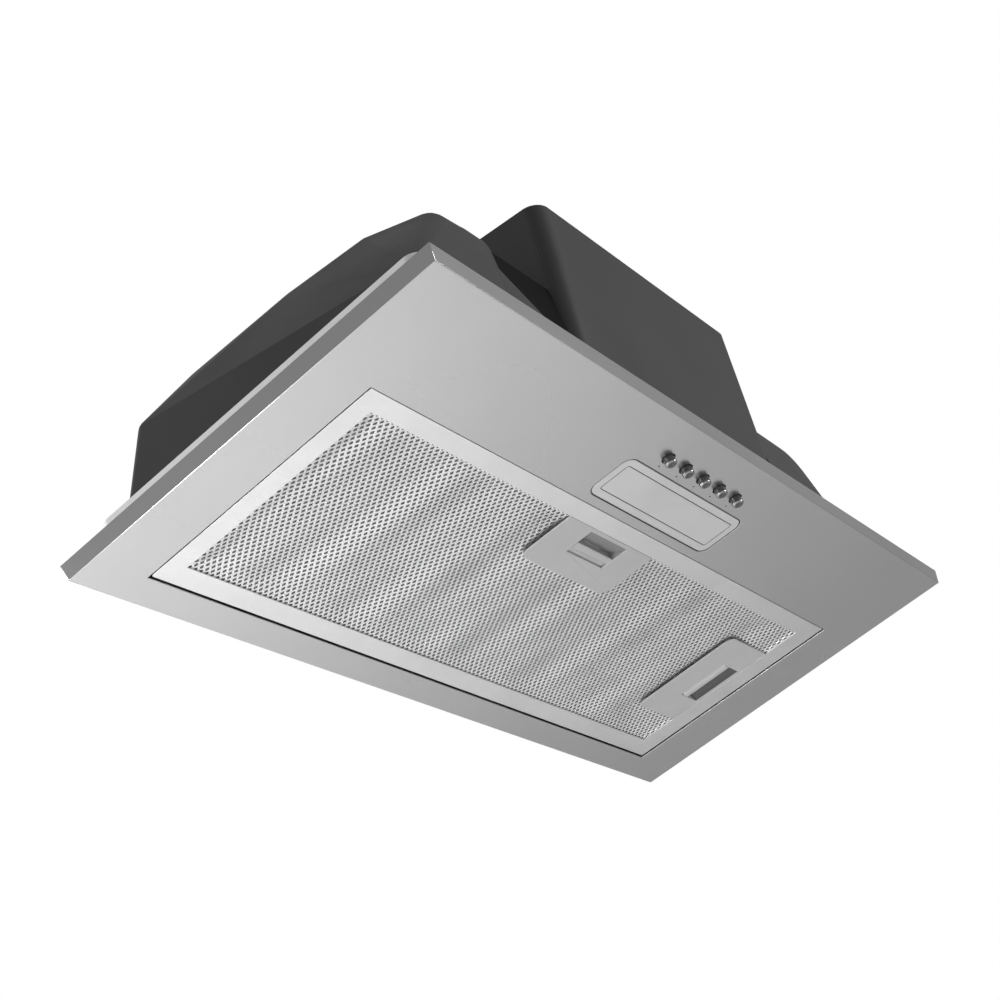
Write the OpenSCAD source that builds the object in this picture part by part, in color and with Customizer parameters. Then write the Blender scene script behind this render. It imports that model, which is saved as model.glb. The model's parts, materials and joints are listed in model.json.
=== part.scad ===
// Built-in range hood insert: steel face panel with a swing-down grease filter,
// a lamp and five push buttons below, and a moulded housing with a leaning
// blower box, radial fan and round duct outlet above.
// The origin is the middle of the rim's seat, where the insert meets the
// underside of the cabinet. +X runs along the panel, -Y is the button side.

/* [Face panel] */
// Length of the flat lower face
panel_l = 598; // [592:1:606]
// Width of the flat lower face
panel_w = 280; // [276:1:290]
// Height of the folded rim
rim_h = 11; // [10:0.5:13]
// How far the rim flares outwards at its top
rim_flare = 2; // [1:0.5:4]
// Width of the seat flange at the top of the rim
seat_w = 13; // [12:0.5:13.5]
// Thickness of the panel sheet
sheet_t = 1; // [0.8:0.1:1.2]
// Screw holes in the seat flange, radius
seat_hole_r = 2.2; // [1.8:0.1:2.6]
// Distance between the seat screws along the panel
seat_pitch_x = 520; // [480:5:540]

/* [Filter] */
// Distance from the panel's left edge to the filter frame
filter_left = 41; // [40:0.5:44]
// Distance from the filter frame to the panel's right edge
filter_right = 44.5; // [43:0.5:47]
// Distance from the panel's front edge to the filter frame
filter_front = 83; // [82:0.5:85]
// Distance from the filter frame to the panel's rear edge
filter_rear = 23; // [21:0.5:26]
// Thickness of the filter frame
filter_t = 9; // [8:0.5:10]
// Gap between the filter frame and its opening
filter_gap = 1.5; // [1.2:0.1:2]
// How far the filter sits inside the panel's face
filter_inset = 0.8; // [0.5:0.1:1.2]
// Width of the frame's left band
band_left = 14; // [12:0.5:16]
// Width of the frame's right band
band_right = 18.5; // [16:0.5:20]
// Width of the frame's front band
band_front = 12.5; // [11:0.5:14]
// Width of the frame's rear band
band_rear = 15; // [13:0.5:17]
// Thickness of the frame's sheet
frame_t = 1.2; // [1:0.1:1.5]
// Radius of the pivot pins
pivot_r = 1.5; // [1.2:0.1:1.8]

/* [Latches] */
// Size of the front latch plate along the frame
latch_front_l = 94; // [80:1:100]
// Size of the side latch plate along the frame
latch_side_l = 89; // [80:1:96]
// How far the front latch plate reaches over the mesh
latch_front_d = 42.5; // [38:0.5:48]
// How far the side latch plate reaches over the mesh
latch_side_d = 49; // [42:0.5:54]
// Middle of the front latch along the panel
latch_front_x = -7.5; // [-60:0.5:60]
// Middle of the side latch from the middle of the filter
latch_side_y = -1.5; // [-6:0.5:4]
// Finger recess, length
recess_l = 40; // [34:1:44]
// Finger recess, width
recess_w = 21; // [19:0.5:23]
// Travel of a latch slider
latch_travel = 3; // [2:0.25:3.5]

/* [Lamp] */
// Length of the lamp cover
cover_l = 136; // [124:1:142]
// Width of the lamp cover
cover_w = 36; // [30:0.5:36]
// Corner radius of the lamp cover
cover_r = 7.5; // [4:0.5:9]
// Gap between the cover and the panel's sheet
cover_gap = 0.8; // [0.5:0.1:1]
// Middle of the lamp along the panel
lamp_x = 1.8; // [-5:0.1:5]
// Distance from the panel's front edge to the middle of the lamp
lamp_front = 56.7; // [56.5:0.1:58]

/* [Buttons] */
// Distance between push buttons
button_pitch = 20.2; // [17:0.2:21]
// Radius of a button cap
button_r = 4.4; // [4.2:0.1:5]
// How far a button stands below the panel
button_out = 6.2; // [5:0.1:7.5]
// Travel of a button
button_travel = 2.6; // [2:0.1:3]
// Distance from the panel's front edge to the button row
button_front = 27.2; // [26:0.1:27.4]

/* [Chassis] */
// How far the chassis frame stands inside the panel's ends
chassis_in_side = 14; // [12:0.5:17]
// How far the chassis frame stands behind the panel's front edge
chassis_in_front = 13; // [12:0.5:14]
// How far the chassis frame stands ahead of the panel's rear edge
chassis_in_rear = 16; // [14:0.5:18]
// Height of the chassis frame above the panel's face
chassis_h = 31; // [29:0.5:34]
// Thickness of the chassis sheet
chassis_t = 1.5; // [1.2:0.1:2]

/* [Lower housing] */
// How far the housing's foot stands inside the chassis frame's ends
housing_in_side = 5; // [3:0.5:8]
// Height of the housing's deck above the panel's face
deck_h = 116; // [110:1:122]
// Wall thickness of the moulded housings
wall = 2.5; // [2:0.1:3]
// How far the housing's front wall stands behind the chassis frame's
housing_in_front = 12.5; // [11:0.5:15]
// How far the left shoulder stands behind the chassis frame's front
shoulder_in = 5.5; // [4:0.5:7]
// How far the foot of the rear wall stands ahead of the chassis frame's rear
housing_in_rear = 18; // [15:0.5:21]
// How far the deck reaches behind the blower box
deck_behind = 5.5; // [3:0.5:10]
// How far the right wall stands inside the housing's foot
right_in = 23; // [20:0.5:27]

/* [Blower box] */
// Length of the blower box
box_l = 243.5; // [240:0.5:246]
// Depth of the blower box
box_d = 165; // [162:1:168]
// Height of the box's front wall, square to the box
box_h = 109.5; // [107:0.5:112]
// Middle of the box along the panel
box_x = 31; // [28:1:36]
// How far the box stands ahead of the housing's front wall
box_ahead = 0.7; // [0.5:0.1:1.5]
// How far the box leans forward, in degrees
lean = 8; // [7:0.5:9]
// Radius of the box's upright corners
box_r = 12; // [6:0.5:13]

/* [Fan] */
// Radius of the fan wheel
wheel_r = 56; // [52:0.5:58]
// Number of blades
blade_count = 32; // [24:1:40]
// Thickness of a blade
blade_t = 1.2; // [1:0.1:1.6]
// Place of the fan from the middle of the box
fan_x = -42; // [-44:0.5:-38]
// Place of the fan behind the box's front
fan_y = 83; // [80:0.5:85]
// Radius of the motor
motor_r = 33; // [28:0.5:34]
// Radius of the motor's shaft
shaft_r = 3; // [2.5:0.1:4]

/* [Duct outlet] */
// Outer radius of the duct collar
collar_r = 59.5; // [56:0.5:60]
// Top of the duct collar above the housing's deck
collar_h = 133; // [130:1:142]
// Place of the collar from the middle of the box
collar_x = 49; // [46:0.5:50]
// Wall of the duct collar
collar_t = 2; // [1.5:0.1:2.5]
// Radius of the rod that carries the flaps
rod_r = 2; // [1.5:0.1:2.5]

/* [Wiring box] */
// Length of the wiring box
wiring_l = 70; // [60:1:76]
// Depth of the wiring box
wiring_d = 60; // [52:1:64]
// Height of the wiring box
wiring_h = 30; // [28:1:34]
// Bore of the cable gland, radius
gland_bore_r = 4.2; // [3.5:0.1:5]

/* [Hidden] */
$fn = 48;

steel = "#c6c8c9";
frame_grey = "#dfe0e0";
chassis_grey = "#c3c5c6";
moulding = "#2f3032";
dark = "#1d1e20";
latch_grey = "#a6a8a9";

eps = 0.01;
// Gap between a moving piece and its neighbour at rest
rest_gap = 0.3;
// Radial running fit of pins and shafts
fit = 0.05;
panel_front = -panel_w / 2;
// Screws
screw_r = 2;
screw_head_r = 3.8;
screw_head_h = 2.4;

// Filter
filter_l = panel_l - filter_left - filter_right;
filter_w = panel_w - filter_front - filter_rear;
filter_x = (filter_left - filter_right) / 2;
filter_y = panel_front + filter_front + filter_w / 2;
open_l = filter_l + 2 * filter_gap;
open_w = filter_w + 2 * filter_gap;
lip_h = filter_inset + filter_t;
mesh_x0 = filter_x - filter_l / 2 + band_left;
mesh_x1 = filter_x + filter_l / 2 - band_right;
mesh_y0 = filter_y - filter_w / 2 + band_front;
mesh_y1 = filter_y + filter_w / 2 - band_rear;
mesh_l = mesh_x1 - mesh_x0;
mesh_w = mesh_y1 - mesh_y0;
mesh_x = (mesh_x0 + mesh_x1) / 2;
mesh_y = (mesh_y0 + mesh_y1) / 2;
// Part of the mesh pack that the frame's channel holds
mesh_grip = 6;
mesh_t = 0.6;
fold_t = 0.5;
fold_pitch = 26;
mesh_z = filter_inset + frame_t;
core_t = filter_t - 2 * frame_t - 2 * mesh_t;
pivot_y = filter_y + filter_w / 2 - 4;
pivot_z = filter_inset + 3.2;
pivot_in = 5;

// Latches, in their own frame: the bolt points to -Y, origin at the mesh's edge
recess_v = 3.5;
grip_v = recess_v + 11.5;
grip_l = 10;
cup_t = 1;
cup_top = filter_inset + filter_t;
cup_side = 1.3;
cup_back = 8.5;
cup_w = recess_w + cup_back + 2 * cup_side;
bolt_w = 18;
bolt_t = 2;
bolt_z = cup_top - cup_t - rest_gap - bolt_t;
slide_play = 0.3;

// Lamp
lamp_y = panel_front + lamp_front;
cover_inset = 0.2;
cover_lip = 1.7;
cover_lip_t = 1.2;
lens_margin = 6.2;
lens_l = cover_l - 2 * lens_margin;
lens_w = cover_w - 2 * lens_margin;
lamp_h = 18;
lamp_wall = 1;

// Buttons
button_y = panel_front + button_front;
button_count = 5;
bank_w = 16;
bank_h = 21;
bank_top = sheet_t + bank_h;
bank_l = (button_count - 1) * button_pitch + 2 * button_r + 13;
cap_up = 4.5;
cap_crown = 1.5;
stem_r = 1.8;
shoulder_z = cap_up + 5;
shoulder_t = 3;
stem_head_r = 3;
stem_head_h = 1.5;

// Chassis
chassis_l = panel_l - 2 * chassis_in_side;
chassis_front = panel_w / 2 - chassis_in_front;
chassis_rear = panel_w / 2 - chassis_in_rear;
window_l = chassis_l - 38;
window_front = chassis_front - 27;
window_rear = chassis_rear - 34;
chassis_screw_x = 200;
side_hole_y = 80;
side_hole_z = 18;
side_hole_r = 2.25;

// Housing
housing_l = chassis_l - 2 * housing_in_side;
housing_front = chassis_front - housing_in_front;
shoulder_front = chassis_front - shoulder_in;
housing_rear = chassis_rear - housing_in_rear;
deck_rear = box_d - housing_front + deck_behind;
housing_r = 8;
edge_r = 12;
tip_r = 14;
right_r = 28;
right_lean = 3.5;
left_wall = -housing_l / 2;
right_wall = housing_l / 2;
right_foot = right_wall - right_in;
// Left and right end of the shoulder's level part, from the left wall
shoulder_start_in = 41;
shoulder_end_in = 92;
shoulder_x = left_wall + shoulder_start_in;
shoulder_end = left_wall + shoulder_end_in;
// Distances behind the housing's front wall
shoulder_depth = 92.5;
shoulder_mid_depth = 39.5;
shoulder_foot_depth = 74.5;
low_foot_depth = 34.5;
hole_front_depth = 14.5;
hole_rear_depth = 146.5;
box_screw_depths = [44.5, 109.5];
shoulder_back = shoulder_depth - housing_front;
shoulder_mid = shoulder_mid_depth - housing_front;
deck_hole_front = housing_front - hole_front_depth;
deck_hole_rear = hole_rear_depth - housing_front;
deck_hole_r = 12;
// Crease of the left wall, behind and below the deck's rear edge
crease_out = 21;
crease_drop = 44;
// Shoulder's foot that runs out to the right
low_foot_l = 74;
low_foot_drop = 33;
// Start of the rounding at the deck's right end, from the right wall
round_in = 53;
box_screw_x = 60;
box_screw_out = 6.5;
deck_hole_l = 208;
foot_t = 2.5;

// Blower box, leaning frame: origin on the front wall at box_z
box_sink = 36;
box_z = deck_h - box_sink;
box_front = housing_front + box_ahead;
skirt_w = 2;
box_top = box_h;
box_in_top = box_top - wall;
volute_z = 42;
volute_t = 2.5;
volute_wall = 2;
ledge = 5;
wheel_z0 = volute_z + volute_t + 4;
wheel_air = 14;
blade_in = 12;
blade_bow = 15;
hub_r = 8;
cup_gap = 2.5;
motor_z0 = wheel_z0 + 12;
plate_t = 3;
wheel_z1 = box_in_top - plate_t - wheel_air;
bracket_arm = 40;
inlet_r = wheel_r - 10;

// Duct
collar_top = deck_h + collar_h;
flap_z = collar_top - 32;
flap_t = 1.4;
knuckle_r = rod_r + 1.2;
knuckle_l = 14;
knuckle_starts = [-44, 8];
knuckle_gap = 0.8;
rod_z = flap_z + flap_t + knuckle_r + rest_gap;
flap_r = collar_r - collar_t - 0.5;
stop_w = 2;
flange_r = collar_r + stop_w + 9.5;
flange_t = 2;
// Level edge that the duct is pushed down to, just clear of the leaning flange
spigot_z = ceil(box_z + (box_top + flange_t) * cos(lean) + (fan_y + collar_r) * sin(lean) + 1);
duct_x = box_x + collar_x;
duct_y = -box_front + fan_y * cos(lean) - box_top * sin(lean);

// Wiring box
wiring_x = -155;
wiring_y = deck_rear - 64;
wiring_t = 2;

// Places everything from the panel's face to the seat plane
module seated() translate([0, 0, -rim_h]) children();

// Places a piece in the blower box's leaning frame
module leaning() seated() translate([box_x, -box_front, box_z])
    rotate([lean, 0, 0]) children();

// Repeats a piece at both signs of x
module both_x(x) for (s = [-1, 1]) translate([s * x, 0, 0]) children();

// Block from corner to corner
module block(a, b) translate(a) cube(b - a);

// Rounded rectangle from corner to corner
module rounded(x0, y0, x1, y1, r) {
    translate([x0 + r, y0]) square([x1 - x0 - 2 * r, y1 - y0]);
    translate([x0, y0 + r]) square([x1 - x0, y1 - y0 - 2 * r]);
    for (x = [x0 + r, x1 - r], y = [y0 + r, y1 - r]) translate([x, y]) circle(r = r);
}

module rounded_centre(l, w, r) rounded(-l / 2, -w / 2, l / 2, w / 2, r);

// Profile of a tray wall that flares as it rises
module flare_profile(half, grow, z0, z1) {
    slope = rim_flare / rim_h;
    polygon([[-half - grow - slope * z0, z0], [half + grow + slope * z0, z0],
        [half + grow + slope * z1, z1], [-half - grow - slope * z1, z1]]);
}

// Solid that flares outwards on all four sides
module flared(grow, z0, z1) intersection() {
    rotate([90, 0, 0]) translate([0, 0, -panel_w])
        linear_extrude(2 * panel_w) flare_profile(panel_l / 2, grow, z0, z1);
    rotate([90, 0, 90]) translate([0, 0, -panel_l])
        linear_extrude(2 * panel_l) flare_profile(panel_w / 2, grow, z0, z1);
}

module filter_opening_2d(grow) translate([filter_x, filter_y])
    square([open_l + 2 * grow, open_w + 2 * grow], center = true);

module face_panel() color(steel) seated() difference() {
    union() {
        difference() {
            flared(0, 0, rim_h);
            flared(-sheet_t, sheet_t, rim_h - sheet_t);
            translate([0, 0, rim_h / 2]) linear_extrude(rim_h)
                square([panel_l - 2 * seat_w + 2 * rim_flare,
                    panel_w - 2 * seat_w + 2 * rim_flare], center = true);
        }
        linear_extrude(lip_h) filter_opening_2d(sheet_t);
    }
    translate([0, 0, -1]) linear_extrude(lip_h + 2) filter_opening_2d(0);
    translate([lamp_x, lamp_y, -1]) linear_extrude(sheet_t + 2)
        rounded_centre(cover_l, cover_w, cover_r);
    each_button() translate([0, 0, -1]) cylinder(r = button_r + fit, h = sheet_t + 2);
    for (x = [-1, 1], y = [-1, 1])
        translate([x * seat_pitch_x / 2, y * seat_row_y(), rim_h / 2])
            cylinder(r = seat_hole_r, h = rim_h);
    for (s = [-1, 1]) translate([filter_x + s * (open_l / 2 + sheet_t / 2), pivot_y, pivot_z])
        rotate([0, 90, 0]) cylinder(r = pivot_r, h = sheet_t + 2, center = true);
}

// Rows of the seat screws, in the middle of the seat flange
function seat_row_y() = panel_w / 2 + rim_flare - seat_w / 2;

module each_button() for (i = [0:button_count - 1])
    translate([(i - (button_count - 1) / 2) * button_pitch, button_y, 0]) children();

module chassis_outline(inset) rounded(-chassis_l / 2 + inset, -chassis_front + inset,
    chassis_l / 2 - inset, chassis_rear - inset, 10 - inset);

module chassis_window() rounded(-window_l / 2, -window_front, window_l / 2, window_rear, 6);

module chassis_frame() color(chassis_grey) seated() difference() {
    union() {
        translate([0, 0, sheet_t]) linear_extrude(chassis_h - sheet_t) chassis_outline(0);
        // Feet that lie on the panel's sheet
        for (s = [-1:1]) translate([s * chassis_screw_x, 0, sheet_t]) linear_extrude(chassis_t)
            rounded(-25, -chassis_front - 7, 25, chassis_rear + 7, 4);
    }
    translate([0, 0, sheet_t - 1]) linear_extrude(chassis_h - chassis_t - sheet_t + 1)
        chassis_outline(chassis_t);
    translate([0, 0, sheet_t]) linear_extrude(chassis_h + 1) chassis_window();
    // Fixing holes in both end walls
    for (y = [-1, 1] * side_hole_y) translate([-chassis_l / 2 - 1, y, side_hole_z])
        rotate([0, 90, 0]) cylinder(r = side_hole_r, h = chassis_l + 2);
    chassis_screw_places() translate([0, 0, chassis_h - 5]) cylinder(r = screw_r, h = 10);
}

module chassis_screw_places() for (s = [-1:1], y = [-window_front - 6.5, window_rear + 5.5])
    translate([s * chassis_screw_x, y, 0]) children();

module chassis_screws() color(steel) seated() chassis_screw_places() {
    translate([0, 0, chassis_h - chassis_t - screw_head_h])
        cylinder(r = screw_head_r, h = screw_head_h);
    translate([0, 0, chassis_h - chassis_t - eps])
        cylinder(r = screw_r, h = chassis_t + foot_t + eps);
}

// Row of round foot posts that a hull stands on; d insets them
module foot_posts(xs, ys, d) for (x = xs, y = ys)
    translate([x, y, chassis_h - (d > 0 ? 5 : 0)]) cylinder(r = housing_r - d, h = 2);

// Round points of the upper edge, given as [x, y, radius]; d insets them
module edge_points(points, d) for (p = points)
    translate([p.x, p.y, deck_h - p.z]) sphere(r = p.z - d, $fn = 32);

// Short round bar along Y that shapes the deck's edge; d insets it
module edge_bar(x, r, y, d) translate([x, y, deck_h - r])
    rotate([-90, 0, 0]) cylinder(r = r - d, h = 1, $fn = 32);

// Moulded body of the lower housing; d insets every face
module housing_body(d) hull() {
    foot_posts([left_wall + housing_r, right_foot - housing_r],
        [-housing_front + housing_r, housing_rear - housing_r], d);
    // Rear end of the crease where the left wall folds inwards
    translate([left_wall + housing_r, deck_rear + crease_out, deck_h - crease_drop])
        sphere(r = housing_r - d, $fn = 32);
    edge_bar(shoulder_x, edge_r, deck_rear - 1 - d, d);
    edge_bar(shoulder_end - 2, 4, -housing_front + d, d);
    edge_bar(right_foot - round_in, right_r, -housing_front + right_lean + d, d);
    edge_bar(right_foot - round_in, right_r, deck_rear - 1 - d, d);
    edge_points([[shoulder_x + 3, shoulder_back, edge_r]], d);
}

// Left shoulder that stands proud of the front wall; d insets every face
module housing_shoulder(d) hull() {
    foot_posts([left_wall + housing_r, shoulder_end + 4],
        [-shoulder_front + housing_r, shoulder_foot_depth - housing_front], d);
    edge_points([[shoulder_x + 3, shoulder_back, edge_r], [shoulder_x + 10, shoulder_mid, edge_r],
        [shoulder_x + 26, -shoulder_front + tip_r + 2.5, tip_r],
        [shoulder_end, -shoulder_front + tip_r, edge_r], [shoulder_end, shoulder_back, edge_r]], d);
}

// Lower part of the shoulder that runs out to the right; d insets every face
module shoulder_foot(d) hull() {
    rows = [-shoulder_front + housing_r, low_foot_depth - housing_front];
    foot_posts([shoulder_end, shoulder_end + low_foot_l], rows, d);
    for (y = rows) translate([shoulder_end + 10, y, deck_h - low_foot_drop])
        sphere(r = housing_r - d, $fn = 32);
}

module lower_housing() color(moulding) seated() difference() {
    union() {
        difference() {
            union() {
                housing_body(0);
                housing_shoulder(0);
                shoulder_foot(0);
            }
            housing_body(wall);
            housing_shoulder(wall);
            shoulder_foot(wall);
            translate([0, 0, chassis_h - 20]) linear_extrude(20) square(2 * panel_l, center = true);
        }
        // Foot that lies on the chassis frame
        translate([0, 0, chassis_h]) linear_extrude(foot_t) difference() {
            union() {
                rounded(left_wall + 1, -housing_front + 1, right_wall - 1, housing_rear - 1, 6);
                rounded(left_wall + 1, -shoulder_front + 1, shoulder_end + 80, 0, 6);
            }
            chassis_window();
        }
        // Ribs under the deck
        for (x = [left_wall + 70, right_foot - 70]) block([x, -housing_front + 16, deck_h - wall - 12],
            [x + 2, deck_rear - 2, deck_h - wall + 0.5]);
    }
    translate([0, 0, deck_h - wall - 1]) linear_extrude(wall + 2) deck_hole();
    chassis_screw_places() translate([0, 0, chassis_h - 1]) cylinder(r = screw_r, h = foot_t + 1);
    box_screw_places() translate([0, 0, deck_h - wall - 1]) cylinder(r = screw_r, h = wall + 2);
    wiring_screw_places() translate([0, 0, deck_h - wall - 1]) cylinder(r = screw_r, h = wall + 2);
}

module deck_hole() rounded(box_x - deck_hole_l / 2, -deck_hole_front,
    box_x + deck_hole_l / 2, deck_hole_rear, deck_hole_r);

module box_screw_places() {
    for (s = [-1, 1], depth = box_screw_depths)
        translate([box_x + s * (deck_hole_l / 2 + box_screw_out), depth - housing_front, 0]) children();
    for (s = [-1, 1]) translate([box_x + s * box_screw_x, deck_hole_rear + box_screw_out, 0]) children();
}

module box_screws() color(steel) seated() box_screw_places() {
    translate([0, 0, deck_h - wall - screw_head_h]) cylinder(r = screw_head_r, h = screw_head_h);
    translate([0, 0, deck_h - wall - eps]) cylinder(r = screw_r, h = 2 * wall + eps);
}

module box_outline(inset) rounded(-box_l / 2 + inset, inset, box_l / 2 - inset, box_d - inset,
    box_r - inset);

// Everything above the deck and in front of the housing's front wall
module above_deck() seated() {
    block([-panel_l, -panel_l, deck_h], [panel_l, panel_l, panel_l]);
    block([-panel_l, -panel_l, 0], [panel_l, -housing_front - 0.3, deck_h + 1]);
}

module blower_housing() color(moulding) difference() {
    intersection() {
        union() {
            leaning() difference() {
                translate([0, 0, skirt_w]) linear_extrude(box_top - skirt_w) box_outline(0);
                translate([0, 0, -30]) linear_extrude(box_in_top + 30) box_outline(wall);
            }
            // Ledge that carries the volute
            leaning() translate([0, 0, volute_z - wall]) linear_extrude(wall) difference() {
                box_outline(wall - 0.5);
                box_outline(wall + ledge);
            }
            // Level foot on the deck
            intersection() {
                leaning() translate([0, 0, -40]) linear_extrude(box_top) box_outline(0.5);
                seated() difference() {
                    block([-panel_l, -housing_front + 5, deck_h], [panel_l, panel_l, deck_h + wall]);
                    translate([0, 0, deck_h - 1]) linear_extrude(wall + 2) deck_hole();
                }
            }
        }
        above_deck();
    }
    // Outlet
    duct_way();
    bracket_screw_places() translate([0, 0, box_in_top - 1]) cylinder(r = screw_r, h = wall + 2);
    collar_screw_places() translate([0, 0, box_in_top - 1]) cylinder(r = screw_r, h = wall + 2);
    seated() box_screw_places() translate([0, 0, deck_h - 1]) cylinder(r = screw_r, h = wall + 2);
}

// Way for the air through the box's top and the collar
module duct_way() seated() translate([duct_x, duct_y, deck_h])
    cylinder(r = collar_r - collar_t, h = 2 * collar_h);

// Growing radius of the volute at an angle from its tongue
function scroll_r(a) = wheel_r + 5 + 15 * a / 300;

// Volute outline from the tongue round to the outlet side
function scroll_points(extra) = [for (i = [0:30]) let (a = i * 9)
    [fan_x + (scroll_r(a) + extra) * cos(a + 60), fan_y + (scroll_r(a) + extra) * sin(a + 60)]];

module scroll_2d(extra) union() {
    polygon(concat(scroll_points(extra), [[fan_x + 62, fan_y - scroll_r(270) * 0.87 - extra],
        [box_l / 2 - wall - 4 + extra, fan_y - scroll_r(270) * 0.87 - extra],
        [box_l / 2 - wall - 4 + extra, fan_y + 70 + extra],
        [fan_x + 75 - extra, fan_y + 70 + extra]]));
}

module volute() color(moulding) leaning() difference() {
    union() {
        translate([0, 0, volute_z]) linear_extrude(volute_t) box_outline(wall + 0.2);
        translate([0, 0, volute_z]) linear_extrude(box_in_top - volute_z)
            intersection() {
                scroll_2d(0);
                box_outline(wall + 0.2);
            }
        // Bell mouth
        translate([fan_x, fan_y, volute_z]) cylinder(r = inlet_r + 2, h = volute_t + 3);
    }
    translate([0, 0, volute_z + volute_t]) linear_extrude(box_top) difference() {
        scroll_2d(-volute_wall);
        translate([fan_x, fan_y]) circle(r = inlet_r + 2);
    }
    translate([fan_x, fan_y, volute_z + volute_t + 3]) cylinder(r = inlet_r + 3, h = box_top);
    translate([fan_x, fan_y, volute_z - 1]) cylinder(r = inlet_r, h = 20);
}

module inlet_guard() color(steel) leaning() translate([fan_x, fan_y, volute_z - wall]) {
    linear_extrude(wall) {
        for (r = [12:12:inlet_r]) ring_2d(r, 2);
        ring_2d(inlet_r + 4, 6);
        for (a = [0:60:120]) rotate(a) square([2 * inlet_r + 4, 2], center = true);
    }
}

module ring_2d(r, w) difference() {
    circle(r = r);
    circle(r = r - w);
}

module bracket_screw_places() leaning() for (a = [60, 180, 300])
    translate([fan_x + bracket_arm * cos(a), fan_y + bracket_arm * sin(a), 0]) children();

module motor_bracket() color(chassis_grey) difference() {
    leaning() translate([fan_x, fan_y, box_in_top - plate_t]) linear_extrude(plate_t) {
        circle(r = motor_r + 1);
        for (a = [60, 180, 300]) rotate(a) translate([0, -7]) square([bracket_arm, 14]);
        for (a = [60, 180, 300]) rotate(a) translate([bracket_arm, 0]) circle(r = 7);
    }
    bracket_screw_places() translate([0, 0, box_in_top - plate_t - 1])
        cylinder(r = screw_r, h = plate_t + 2);
}

module bracket_screws() color(steel) bracket_screw_places() {
    translate([0, 0, box_top]) cylinder(r = screw_head_r, h = screw_head_h);
    translate([0, 0, box_in_top - plate_t]) cylinder(r = screw_r, h = plate_t + wall + eps);
}

module motor_can() color(dark) leaning() translate([fan_x, fan_y, 0]) difference() {
    union() {
        translate([0, 0, motor_z0 + 3]) cylinder(r = motor_r, h = box_in_top - plate_t - motor_z0 - 3);
        translate([0, 0, motor_z0]) cylinder(r = 14, h = 4);
        for (a = [0:30:330]) rotate(a) translate([motor_r - 1, -1, motor_z0 + 8])
            cube([2, 2, box_in_top - plate_t - motor_z0 - 12]);
    }
    translate([0, 0, motor_z0 - 1]) cylinder(r = shaft_r + fit, h = 21);
}

// One forward-curved blade, as the overlap of a ring and a curved strip
module blade_2d() intersection() {
    ring_2d(wheel_r - 0.5, blade_in);
    translate([wheel_r - blade_in / 2, blade_bow - 1]) ring_2d(blade_bow, blade_t);
    translate([wheel_r - 20, -12]) square([22, 20]);
}

module wheel() color(frame_grey) leaning() translate([fan_x, fan_y, 0]) {
    for (i = [0:blade_count - 1]) rotate(i * 360 / blade_count)
        translate([0, 0, wheel_z0 + 1]) linear_extrude(wheel_z1 - wheel_z0 - 2) blade_2d();
    rotate_extrude() {
        translate([wheel_r - 4, wheel_z0]) square([4, 1.5]);
        cup_in = motor_r + cup_gap;
        translate([cup_in, wheel_z1 - 1.5]) square([wheel_r - cup_in, 1.5]);
        translate([cup_in, motor_z0 - 4.5]) square([2, wheel_z1 - motor_z0 + 4.5]);
        translate([shaft_r, motor_z0 - 4.5]) square([cup_in - shaft_r + 1, 2]);
        translate([shaft_r, wheel_z0 + 1.5]) square([hub_r - shaft_r, motor_z0 - 3 - wheel_z0 - 1.5]);
    }
}

module wheel_shaft() color(steel) leaning() translate([fan_x, fan_y, wheel_z0 - 3])
    cylinder(r = shaft_r, h = motor_z0 + 16 - wheel_z0);

module wheel_nut() color(steel) leaning() translate([fan_x, fan_y, wheel_z0 - 2.5]) difference() {
    cylinder(r = 6, h = 4, $fn = 6);
    translate([0, 0, -1]) cylinder(r = shaft_r, h = 6);
}

module collar_screw_places() leaning() for (a = [45:90:315])
    translate([collar_x + (flange_r - 4.5) * cos(a), fan_y + (flange_r - 4.5) * sin(a), 0]) children();

// Half space above the box's top
module above_box() leaning() block([-box_l, -box_l, box_top], [box_l, 2 * box_l, 4 * box_top]);

module duct_collar() color(moulding) difference() {
    union() {
        leaning() translate([collar_x, fan_y, box_top]) cylinder(r = flange_r, h = flange_t);
        intersection() {
            seated() translate([duct_x, duct_y, deck_h]) {
                cylinder(r = collar_r + stop_w, h = spigot_z - deck_h);
                cylinder(r = collar_r, h = collar_h);
            }
            above_box();
        }
    }
    difference() {
        duct_way();
        // Seat of the flaps
        seated() translate([duct_x, duct_y, flap_z - rest_gap - 2]) difference() {
            cylinder(r = collar_r, h = 2);
            translate([0, 0, -1]) cylinder(r = collar_r - collar_t - 3, h = 4);
        }
    }
    collar_screw_places() translate([0, 0, box_top - 1]) cylinder(r = screw_r, h = flange_t + 2);
    seated() rod_place() cylinder(r = rod_r, h = 2 * collar_r);
}

module rod_place() translate([duct_x - collar_r, duct_y, rod_z]) rotate([0, 90, 0]) children();

module collar_screws() color(steel) collar_screw_places() {
    translate([0, 0, box_top + flange_t]) cylinder(r = screw_head_r, h = screw_head_h);
    translate([0, 0, box_in_top]) cylinder(r = screw_r, h = wall + flange_t + eps);
}

module flap_rod() color(steel) seated() rod_place() cylinder(r = rod_r, h = 2 * collar_r);

// Half-round flap that closes the rear half of the duct
module flap() translate([0, 0, flap_z]) linear_extrude(flap_t) intersection() {
    circle(r = flap_r, $fn = 96);
    translate([-flap_r, 0.5]) square([2 * flap_r, flap_r]);
}

// Two knuckles on the rod, each with a leg that stands on the flap
module flap_knuckles() difference() {
    for (x = knuckle_starts) {
        translate([x, 0, rod_z]) rotate([0, 90, 0]) cylinder(r = knuckle_r, h = knuckle_l);
        block([x, knuckle_gap, flap_z + flap_t], [x + knuckle_l, knuckle_r, rod_z]);
    }
    translate([-flap_r, 0, rod_z]) rotate([0, 90, 0]) cylinder(r = rod_r + fit, h = 2 * flap_r);
}

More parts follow.
